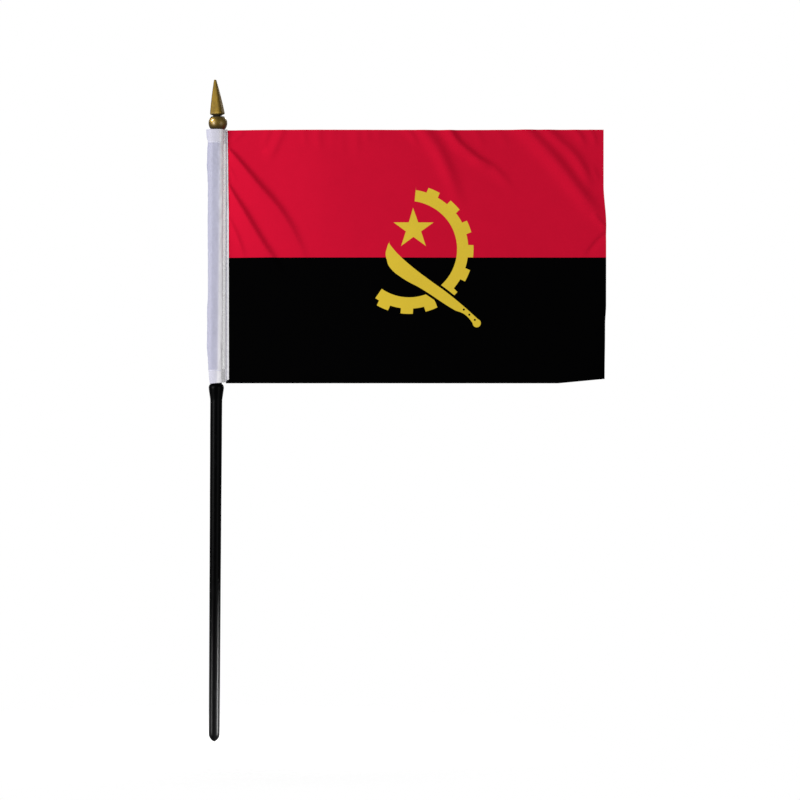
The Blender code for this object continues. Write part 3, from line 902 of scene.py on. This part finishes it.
# Sleeve. Its reach away from the flag, its depth, and how far its edge stands past the cut, at
# heights above its lower edge, in millimetres.
SLEEVE_REACH = ((0, 2.65), (2.5, 2.95), (8, 3.4), (14, 3.75), (27, 3.75), (35, 3.45), (80, 3.45), (88, 3.8))
SLEEVE_REACH += ((95, 3.7), (97.2, 3.42), (99.2, 4.0), (102.2, 4.15))
SLEEVE_DEPTH = ((0, 2.62), (6.5, 2.62), (10, 2.38), (92, 2.38), (95.5, 2.62), (99.5, 2.9), (102.2, 3.12))
SLEEVE_EDGE = ((0, 0.34), (57, 0.27), (69, 0.27), (81.5, 0.07), (93.5, -0.06), (102.2, -0.22))
SEAM_X = 3.45 * MM  # where the sleeve's two layers meet
SEAM_GAP = 0.03 * MM
SEAM_STEPS = 6
CURVE_STEPS = 14
HEM_FADE = 0.5 * MM
MOUTH_DROP = 0.35 * MM  # how far the lower edge hangs below the cut, at its side away from the flag
SEAM_RISE = 0.9 * MM  # and how much farther it rises at the seam than its slant does
MOUTH_HEIGHT = 9 * MM
BROAD_CREASES = (2.6 * MM, 2.6 * MM, 5.5 * MM)
FINE_CREASES = (1.1 * MM, 1.1 * MM, 1.8 * MM)

# How light the sleeve is painted, and how much one face of its cloth hides, at places across it in
# millimetres from the staff's axis towards the flag. The lightness is painted shade: grey away from the
# flag and over the staff, white towards the seam. The doubled hems get less of that shade.
SLEEVE_PAINTED_LIGHTNESS = ((-4, 0.04), (-2.4, 0.17), (-1.9, 0.16), (0.2, 0.26), (0.6, 0.38), (1.7, 1.0), (5, 1.0))
SLEEVE_COVER = ((-4, 0.62), (0.1, 0.62), (0.6, 0.74), (2.1, 0.74), (2.35, 0.2), (3.3, 0.2))
SLEEVE_COVER += ((3.55, 1.0), (5, 1.0))
PAINTED_LIGHT_LEAN = 0.5  # how much nearer the flag its paler part starts at the top, in millimetres
HEM_PAINTED_LIGHTNESS = 0.35


def bezier(a, b, c, d):
    """The first CURVE_STEPS points of a cubic Bezier curve."""
    t = np.arange(CURVE_STEPS)[:, None] / CURVE_STEPS
    return (1 - t) ** 3 * a + 3 * t * (1 - t) ** 2 * b + 3 * t**2 * (1 - t) * c + t**3 * d


def plan_of_sleeve(height, layer):
    """The middle of the sleeve's cloth in plan, from its front edge round the staff to its back edge.

    layer is how far it lies from the flag's middle at the seam.
    """
    up = (height - SLEEVE_LOW.z) / MM
    reach = np.interp(up, *zip(*SLEEVE_REACH)) * MM
    depth = np.interp(up, *zip(*SLEEVE_DEPTH)) * MM
    edge = SLEEVE_HIGH.x + np.interp(up, *zip(*SLEEVE_EDGE)) * MM
    straight = [(edge + (SEAM_X - edge) * step / SEAM_STEPS, -layer) for step in range(SEAM_STEPS)]
    seam, front, side = np.array(((SEAM_X, -layer), (0.0, -depth), (-reach, 0.0)))
    right = bezier(seam, (0.93 * SEAM_X, -0.55 * depth), (0.68 * SEAM_X, -depth), front)
    left = bezier(front, (-0.76 * reach, -depth), (-reach, -0.6 * depth), side)
    half = np.concatenate([straight, right, left])
    return np.concatenate([half, [side], half[::-1] * (1, -1)])


def outward_of(plan):
    """Unit normals that point out of the sleeve, along its plan."""
    along = np.gradient(plan, axis=0)
    return unit(np.stack([-along[:, 1], along[:, 0]], axis=1))


def hem_share(heights, hem):
    """1 where an end of the sleeve is turned in, and 0 between the hems."""
    from_end = np.minimum(heights - SLEEVE_LOW.z, SLEEVE_HIGH.z - heights)
    return 1 - eased((from_end - hem) / HEM_FADE)


def seam_layer(sleeve, cloth_thickness, hemmed):
    """How far the middle of the sleeve's outer layer lies from the flag's middle at the seam."""
    return cloth_thickness / 2 + SEAM_GAP + sleeve.thickness / 2 + (sleeve.thickness + SEAM_GAP) * hemmed


def sleeve_rows(settings):
    """(height, inset) of each row: down inside the lower hem, up the outside, down inside the upper hem."""
    inset = settings.thickness + SEAM_GAP
    low, high = SLEEVE_LOW.z + inset / 2, SLEEVE_HIGH.z - inset / 2
    hem = np.linspace(settings.hem, 0.0, round(settings.hem / settings.row_spacing))
    turn = np.linspace(0.0, math.pi, 7)[1:-1]
    rows = [(low + rise, inset) for rise in hem]
    rows += [(low - inset / 2 * math.sin(t), inset / 2 * (1 + math.cos(t))) for t in turn]
    rows += [(z, 0.0) for z in np.linspace(low, high, round((high - low) / settings.row_spacing))]
    rows += [(high + inset / 2 * math.sin(t), inset / 2 * (1 - math.cos(t))) for t in turn]
    rows += [(high - fall, inset) for fall in hem[::-1]]
    return rows


def mouth_rise(x, height, slant):
    """How far the slant of the sleeve's lower edge moves points up."""
    rise = (x - SLEEVE_LOW.x) / (SLEEVE_HIGH.x - SLEEVE_LOW.x) * slant - MOUTH_DROP
    rise = rise + SEAM_RISE * eased((x - 0.95 * SEAM_X) / MM)
    return rise * (1 - eased((height - SLEEVE_LOW.z) / MOUTH_HEIGHT))


def sleeve_middle(settings, cloth_thickness):
    """(points, flat places) of the sleeve's middle surface."""
    rows = sleeve_rows(settings)
    runs = run_along(np.array(rows))
    grid, flat = [], []
    for (height, inset), run in zip(rows, runs):
        hemmed = hem_share(height, settings.hem)
        plan = plan_of_sleeve(height, seam_layer(settings, cloth_thickness, hemmed))
        plan = plan - outward_of(plan) * inset
        heights = height + mouth_rise(plan[:, 0], height, settings.slant)
        grid.append(np.column_stack([plan, heights]))
        flat.append(np.column_stack([run_along(plan), np.full(len(plan), run)]))
    points = np.array(grid)
    loose = eased((SEAM_X - points[..., 0]) / (1.2 * MM))[..., None]
    creases = rough(points, BROAD_CREASES, 21.0) + 0.5 * rough(points, FINE_CREASES, 8.0)
    outward = np.stack([np.column_stack([outward_of(row[:, :2]), np.zeros(len(row))]) for row in points])
    points += outward * loose * np.maximum(creases, -0.15)[..., None] * settings.crumple
    return points, np.array(flat)


def white_cloth(settings):
    """Thin woven polyester that what is behind it shows through, with painted shade: grey away from the
    flag and over the staff, white towards the seam and on the hems.
    """
    shader = Shader("white_sleeve_cloth")
    across, along, place = cloth_places(shader)
    yarns = weave(shader, across, along, settings.yarn_spacing / MM)
    mottle = shader.clouds(place, 950.0, detail=3.0, roughness=0.7)
    slow = shader.clouds(place, 190.0, detail=2.0)
    sideways, _, height = shader.split(shader.place())
    sideways = sideways / MM
    up = (height - SLEEVE_LOW.z) / (SLEEVE_HIGH.z - SLEEVE_LOW.z)
    middle = (SLEEVE_LOW.z + SLEEVE_HIGH.z) / 2
    into_hem = abs(height - middle) - (SLEEVE_HIGH.z - middle - settings.hem)
    in_hem = (into_hem / (0.4 * MM)).clamped()
    # Painted shade across the sleeve, lighter towards the seam and on the hems.
    pale = read_curve(shader, sideways - PAINTED_LIGHT_LEAN * up + PAINTED_LIGHT_LEAN / 2, SLEEVE_PAINTED_LIGHTNESS)
    cover = read_curve(shader, sideways, SLEEVE_COVER)
    return shader.finish(
        Base_Color=shader.mixed(
            pale + HEM_PAINTED_LIGHTNESS * in_hem, tuple(settings.grey_colour), tuple(settings.colour)
        ),
        Alpha=cover + 0.16 * mottle + 0.08 * slow - 0.12,
        Roughness=0.7 + 0.12 * yarns,
        Specular_IOR_Level=0.2,
        Normal=shader.bumped(yarns + 0.6 * mottle, 0.02 * MM, 0.5),
    )


# Stitches. The arch of a stitch and the depth of its holes are shares of the thread's diameter.

STITCH_ARCH = 1.05
HOLE_DEPTH = 0.45
SEAM_SPOTS = 400
HEM_ROW_END = 0.6 * SEAM_X  # how far towards the flag the hems' rows reach


def stitch_lift(run, stitch, diameter):
    """How far the thread's middle stands off the cloth: up along each stitch, and into its needle holes."""
    within = np.abs(np.sin(math.pi * run / stitch))
    return diameter * (STITCH_ARCH * np.sqrt(within) - HOLE_DEPTH)


def stitched_thread(name, spots, outward, settings):
    """A twisted thread that follows spots on the cloth, dipping into the needle holes."""
    run = run_along(spots)
    even = np.arange(0.0, run[-1], settings.diameter / 1.6)
    outward = unit(read_along(even, run, outward))
    lift = stitch_lift(even, settings.stitch, settings.diameter)
    path = read_along(even, run, spots) + outward * lift[:, None]
    along = unit(np.gradient(path, axis=0))
    across = unit(np.cross(along, outward))
    above = np.cross(across, along)
    sides = 3 * settings.plies
    angles = around(sides)
    twist = 2 * math.pi * even[:, None] / settings.twist
    radii = settings.diameter / 2 * (0.88 + 0.14 * np.cos(settings.plies * (angles[None, :] - twist)))
    points = path[:, None, :]
    points = points + above[:, None, :] * (radii * np.cos(angles))[..., None]
    points = points + across[:, None, :] * (radii * np.sin(angles))[..., None]
    return made_mesh(name, points, lofted_faces(len(path), sides), sharp=75.0)


def seam_spots(node, side, sleeve, cloth_thickness):
    """(spots, outward directions) of the seam's row on one side: -1 for the front, 1 for the back."""
    low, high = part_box(node)
    heights = np.linspace(low.z, high.z, SEAM_SPOTS)
    hemmed = hem_share(heights, sleeve.hem)
    off = seam_layer(sleeve, cloth_thickness, hemmed) + sleeve.thickness / 2
    spots = np.stack([np.full_like(heights, (low.x + high.x) / 2), side * off, heights], axis=1)
    return spots, np.tile((0.0, float(side), 0.0), (len(spots), 1))


def hem_spots(node, inside, sleeve, cloth_thickness):
    """(spots, outward directions) of a hem's row, on the outside or the inside of the sleeve."""
    low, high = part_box(node)
    height = (low.z + high.z) / 2
    plan = plan_of_sleeve(height, seam_layer(sleeve, cloth_thickness, 1.0))
    outward = outward_of(plan)
    inset = sleeve.thickness + SEAM_GAP
    plan = plan + outward * (-inset - sleeve.thickness / 2 if inside else sleeve.thickness / 2)
    kept = plan[:, 0] < HEM_ROW_END
    spots = np.column_stack([plan[kept], np.full(kept.sum(), height)])
    ways = np.column_stack([outward[kept] * (-1 if inside else 1), np.zeros(kept.sum())])
    return spots, ways


def white_thread(settings):
    """White sewing thread, mottled by its fine fibres."""
    shader = Shader("white_sewing_thread")
    fibres = shader.clouds(shader.place(), 9000.0, detail=3.0)
    shade = tuple(0.8 * part for part in settings.colour)
    return shader.finish(
        Base_Color=shader.mixed(fibres, shade, tuple(settings.colour)),
        Roughness=0.55 + 0.25 * fibres,
        Sheen_Weight=0.15,
        Normal=shader.bumped(fibres, 0.01 * MM, 0.6),
    )


# Stage.


def make_camera(settings):
    camera = bpy.data.objects.new("camera", bpy.data.cameras.new("camera"))
    camera.data.lens = settings.focal_length
    camera.data.clip_start = 10 * MM
    camera.location = (settings.sideways, -settings.distance, settings.height)
    camera.rotation_euler = (math.pi / 2, -settings.roll, 0.0)
    bpy.context.scene.collection.objects.link(camera)
    bpy.context.scene.camera = camera


def add_lamp(name, place, target, size, power, beam=None):
    """A round soft lamp or, with a beam angle, a spot lamp."""
    lamp = bpy.data.objects.new(name, bpy.data.lights.new(name, "SPOT" if beam else "AREA"))
    if beam:
        lamp.data.spot_size = beam
        lamp.data.spot_blend = 1.0
        lamp.data.shadow_soft_size = size / 2
    else:
        lamp.data.shape = "DISK"
        lamp.data.size = size
    lamp.data.energy = power
    lamp.location = place
    lamp.rotation_euler = (Vector(target) - Vector(place)).to_track_quat("-Z", "Y").to_euler()
    bpy.context.scene.collection.objects.link(lamp)
    return lamp


def make_lights(settings):
    """A key from the left, a soft fill, a wash for the floor, and narrow beams on the ball and the foot."""
    middle = (0.5 * CLOTH_HIGH.x, 0.0, 0.5 * (CLOTH_LOW.z + CLOTH_HIGH.z))
    add_lamp("key", (-0.45, -0.36, 0.24), middle, 0.32, settings.key_power)
    add_lamp("fill", (1.2, -1.2, 0.1), middle, 1.2, settings.fill_power)
    add_lamp("floor_wash", (0.05, 0.4, 0.5), (0.0, 0.0, 0.0), 0.4, settings.floor_power)
    shoulder = (-2.1 * MM, -2.7 * MM, BALL_HIGH.z - 1.9 * MM)  # the lit place on the ball
    beam = math.radians(1.0)
    add_lamp("finial_glint", (-0.13, -0.027, 0.322), shoulder, 0.002, settings.glint_power, beam)
    foot = (0.0, 0.0, 5 * MM)
    add_lamp("foot_glint", (0.5, -0.12, 0.03), foot, 0.06, settings.foot_power, math.radians(8.5))
    add_lamp("foot_edge", (-0.45, -0.28, 0.03), foot, 0.06, 0.3 * settings.foot_power, math.radians(7.0))


def make_floor(settings):
    """A pale disc under the foot that fades into the white surroundings."""
    shape = bmesh.new()
    bmesh.ops.create_circle(shape, cap_ends=True, radius=settings.floor_radius, segments=96)
    mesh = bpy.data.meshes.new("pale_floor")
    shape.to_mesh(mesh)
    shape.free()
    floor = bpy.data.objects.new("pale_floor", mesh)
    floor.location = (0.0, 0.0, -0.2 * MM)
    bpy.context.scene.collection.objects.link(floor)
    shader = Shader("pale_floor")
    from_foot = shader.node(
        "ShaderNodeVectorMath", {"operation": "LENGTH"}, {0: shader.place()}, output="Value"
    )
    fade = shader.node(
        "ShaderNodeMapRange",
        {"interpolation_type": "SMOOTHSTEP"},
        {"Value": from_foot, "From Min": 0.25 * settings.floor_radius, "From Max": settings.floor_radius},
    )
    shader.finish(Base_Color=(0.93, 0.93, 0.93), Roughness=0.8, Alpha=0.5 - 0.5 * fade)
    mesh.materials.append(shader.material)


def make_surroundings(settings):
    """White to the camera, and a softer light on the object."""
    world = bpy.data.worlds.new("surroundings")
    world.use_nodes = True
    tree = world.node_tree
    sky = tree.nodes["Background"]
    sky.inputs["Color"].default_value = (1.0, 1.0, 1.0, 1.0)
    sky.inputs["Strength"].default_value = settings.ambient
    seen = tree.nodes.new("ShaderNodeBackground")
    ray = tree.nodes.new("ShaderNodeLightPath")
    chosen = tree.nodes.new("ShaderNodeMixShader")
    tree.links.new(ray.outputs["Is Camera Ray"], chosen.inputs["Fac"])
    tree.links.new(sky.outputs[0], chosen.inputs[1])
    tree.links.new(seen.outputs[0], chosen.inputs[2])
    seen.inputs["Color"].default_value = (1.0, 1.0, 1.0, 1.0)
    tree.links.new(chosen.outputs[0], tree.nodes["World Output"].inputs["Surface"])
    bpy.context.scene.world = world


# Operators.


class STICKFLAG_OT_staff(bpy.types.Operator):
    """Make the black plastic staff"""

    bl_idname = "stick_flag.staff"
    bl_label = "Make Staff"

    def execute(self, context):
        settings = context.scene.stick_flag.staff
        mesh = staff_mesh(settings)
        add_piece("staff_moulding", mesh, black_plastic(settings), "staff", "staff")
        return {"FINISHED"}


class STICKFLAG_OT_finial(bpy.types.Operator):
    """Make the gold ball and spear"""

    bl_idname = "stick_flag.finial"
    bl_label = "Make Finial"

    def execute(self, context):
        settings = context.scene.stick_flag.finial
        gold = gold_plastic(settings)
        add_piece("gold_ball", ball_mesh(settings), gold, "finial", "finial_ball")
        add_piece("gold_spear", spear_mesh(settings), gold, "finial", "finial_spear")
        return {"FINISHED"}


class STICKFLAG_OT_cloth(bpy.types.Operator):
    """Make the folded, printed flag cloth"""

    bl_idname = "stick_flag.cloth"
    bl_label = "Make Flag Cloth"

    def execute(self, context):
        settings = context.scene.stick_flag.cloth
        middle, flat = cloth_middle(settings)
        mesh = hung(thin_sheet("printed_flag", middle, settings.thickness, flat))
        material = printed_cloth(settings)
        piece = add_piece("printed_flag", mesh, material, "flag", "flag_cloth")
        return {"FINISHED"}


class STICKFLAG_OT_sleeve(bpy.types.Operator):
    """Make the white sleeve with its turned-in hems"""

    bl_idname = "stick_flag.sleeve"
    bl_label = "Make Sleeve"

    def execute(self, context):
        settings = context.scene.stick_flag.sleeve
        middle, flat = sleeve_middle(settings, context.scene.stick_flag.cloth.thickness)
        mesh = hung(thin_sheet("white_sleeve", middle, settings.thickness, flat))
        piece = add_piece("white_sleeve", mesh, white_cloth(settings), "flag", "sleeve")
        return {"FINISHED"}


class STICKFLAG_OT_stitches(bpy.types.Operator):
    """Sew the seam and the two hems"""

    bl_idname = "stick_flag.stitches"
    bl_label = "Make Stitches"

    def execute(self, context):
        settings = context.scene.stick_flag.stitches
        sleeve = context.scene.stick_flag.sleeve
        cloth_thickness = context.scene.stick_flag.cloth.thickness
        thread = white_thread(settings)
        rows = [
            ("seam_needle_thread", *seam_spots("seam_needle_thread", -1, sleeve, cloth_thickness)),
            ("seam_bobbin_thread", *seam_spots("seam_bobbin_thread", 1, sleeve, cloth_thickness)),
        ]
        for hem in ("top_hem", "bottom_hem"):
            for kind, inside in (("needle_thread", False), ("bobbin_thread", True)):
                node = f"{hem}_{kind}"
                rows.append((node, *hem_spots(node, inside, sleeve, cloth_thickness)))
        for node, spots, outward in rows:
            name = node.replace("thread", "stitches")
            mesh = hung(stitched_thread(name, spots, outward, settings))
            add_piece(name, mesh, thread, "flag", node)
        return {"FINISHED"}


class STICKFLAG_OT_stage(bpy.types.Operator):
    """Make the camera, the lights, the pale floor and the white surroundings"""

    bl_idname = "stick_flag.stage"
    bl_label = "Make Stage"

    def execute(self, context):
        settings = context.scene.stick_flag.stage
        make_camera(settings)
        make_lights(settings)
        make_floor(settings)
        make_surroundings(settings)
        context.scene.view_settings.view_transform = "Standard"
        return {"FINISHED"}


class STICKFLAG_PT_panel(bpy.types.Panel):
    """Lists the flag's pieces, each with its settings"""

    bl_idname = "STICKFLAG_PT_panel"
    bl_label = "Stick Flag"
    bl_space_type = "VIEW_3D"
    bl_region_type = "UI"
    bl_category = "Stick Flag"

    def draw(self, context):
        self.layout.prop(context.scene.stick_flag, "hang")
        for piece in ("stage", "staff", "finial", "cloth", "sleeve", "stitches"):
            box = self.layout.box()
            box.operator(f"stick_flag.{piece}")
            settings = getattr(context.scene.stick_flag, piece)
            for name in settings.__annotations__:
                box.prop(settings, name)


CLASSES = (
    StaffSettings,
    FinialSettings,
    ClothSettings,
    SleeveSettings,
    StitchSettings,
    StageSettings,
    FlagSettings,
    STICKFLAG_OT_staff,
    STICKFLAG_OT_finial,
    STICKFLAG_OT_cloth,
    STICKFLAG_OT_sleeve,
    STICKFLAG_OT_stitches,
    STICKFLAG_OT_stage,
    STICKFLAG_PT_panel,
)


def register():
    for kind in CLASSES:
        bpy.utils.register_class(kind)
    bpy.types.Scene.stick_flag = bpy.props.PointerProperty(type=FlagSettings)


def unregister():
    del bpy.types.Scene.stick_flag
    for kind in reversed(CLASSES):
        bpy.utils.unregister_class(kind)


def main():
    register()
    bpy.ops.stick_flag.stage()
    bpy.ops.stick_flag.staff()
    bpy.ops.stick_flag.finial()
    bpy.ops.stick_flag.cloth()
    bpy.ops.stick_flag.sleeve()
    bpy.ops.stick_flag.stitches()


if __name__ == "__main__":
    main()
